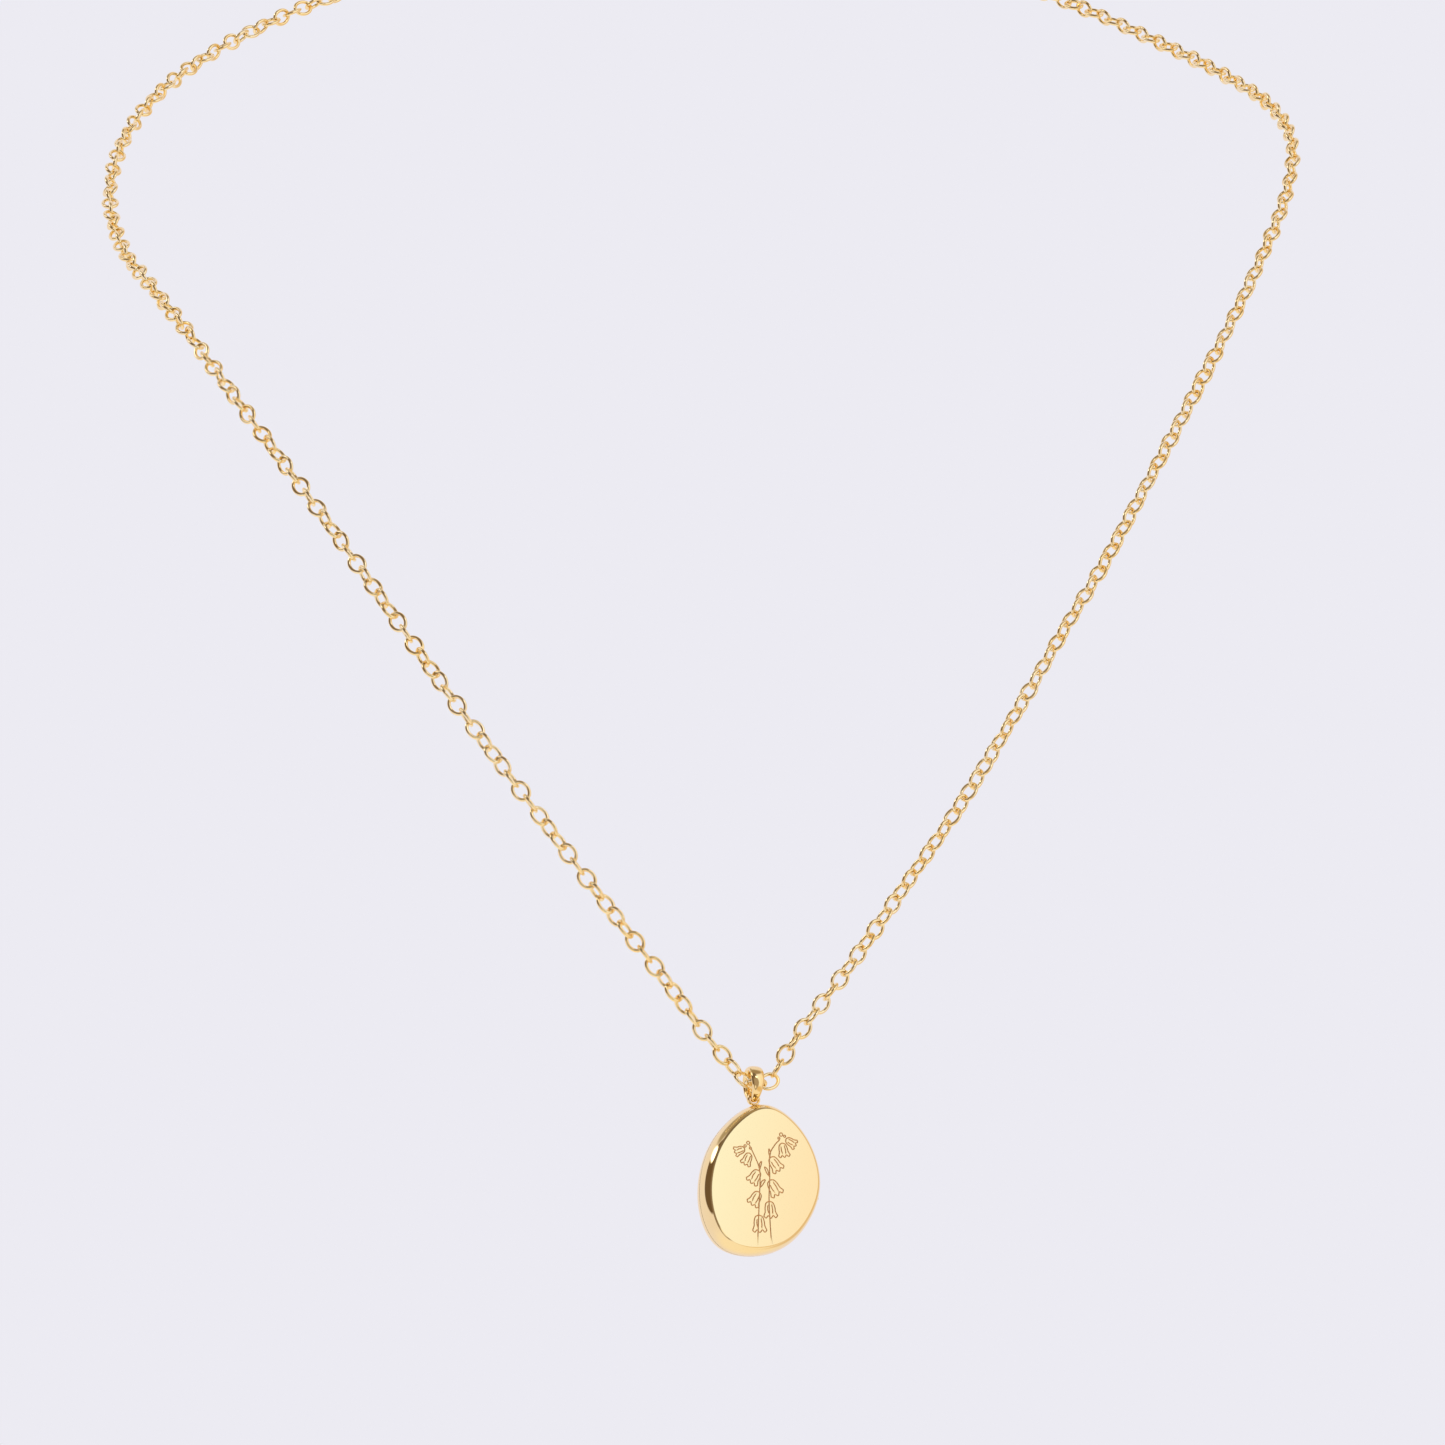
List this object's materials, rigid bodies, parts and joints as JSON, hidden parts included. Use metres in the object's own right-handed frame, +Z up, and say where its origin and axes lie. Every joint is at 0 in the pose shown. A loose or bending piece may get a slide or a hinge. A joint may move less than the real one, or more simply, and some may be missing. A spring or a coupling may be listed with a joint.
{
  "type": "locket necklace",
  "caption": "Small egg-shaped gilt locket with a hinged front cover, hung by a bail ring on a fine cable chain that closes at the nape with a spring ring clasp.",
  "frame": {"origin": "middle of the neck that the chain goes round, which carries the necklace", "axes": "+Z up, -Y to the wearer's front, +X to the viewer's right (the wearer's left)"},
  "size_m": [0.1336, 0.1011, 0.1757],
  "materials": {
    "case_gold": "mirror-polished gold plate",
    "bail_gold": "mirror-polished gold plate",
    "chain_gold": "polished gold plate",
    "fitting_gold": "polished gold plate",
    "steel": "drawn wire",
    "photo_card": "matte card",
    "clear_window": "clear plastic film"
  },
  "bodies": {
    "chain": {"left_chain": "chain_gold", "right_chain": "chain_gold", "centre_link": "chain_gold", "left_side_link": "chain_gold", "right_side_link": "chain_gold", "left_end_link": "chain_gold", "right_end_link": "chain_gold", "clasp_jump_ring": "fitting_gold", "end_ring": "fitting_gold", "clasp_body": "fitting_gold", "clasp_spring": "steel"},
    "bail": {"bail_ring": "bail_gold"},
    "pendant": {"back_shell": "case_gold", "back_knuckle_upper": "fitting_gold", "back_knuckle_lower": "fitting_gold", "hinge_pin": "steel", "closing_rim": "fitting_gold", "back_photo": "photo_card", "back_window": "clear_window", "back_photo_frame": "fitting_gold", "pendant_eye": "fitting_gold"},
    "cover": {"front_cover": "case_gold", "front_knuckle": "fitting_gold", "front_photo": "photo_card", "front_window": "clear_window", "front_photo_frame": "fitting_gold"},
    "clasp_bolt": {"clasp_bolt": "fitting_gold"}
  },
  "joints": [
    {"name": "bail_swing", "type": "hinge", "parent": "chain", "child": "bail", "pos_m": [0.00588, -0.04472, -0.10583], "axis": [0.9232, 0.3843, 0], "range_deg": [-75, 40]},
    {"name": "pendant_rock", "type": "hinge", "parent": "bail", "child": "pendant", "pos_m": [0.00588, -0.04472, -0.10752], "axis": [-0.3843, 0.9232, 0], "range_deg": [-8, 8]},
    {"name": "cover_hinge", "type": "hinge", "parent": "pendant", "child": "cover", "pos_m": [0.01243, -0.04232, -0.1164], "axis": [0, 0, 1], "range_deg": [0, 120]},
    {"name": "clasp_slide", "type": "hinge", "parent": "chain", "child": "clasp_bolt", "pos_m": [0, 0.05, 0.048], "axis": [0, -1, 0], "range_deg": [0, 42], "stiffness_Nm_per_rad": 0.0002, "deforming": ["clasp_spring"]}
  ]
}
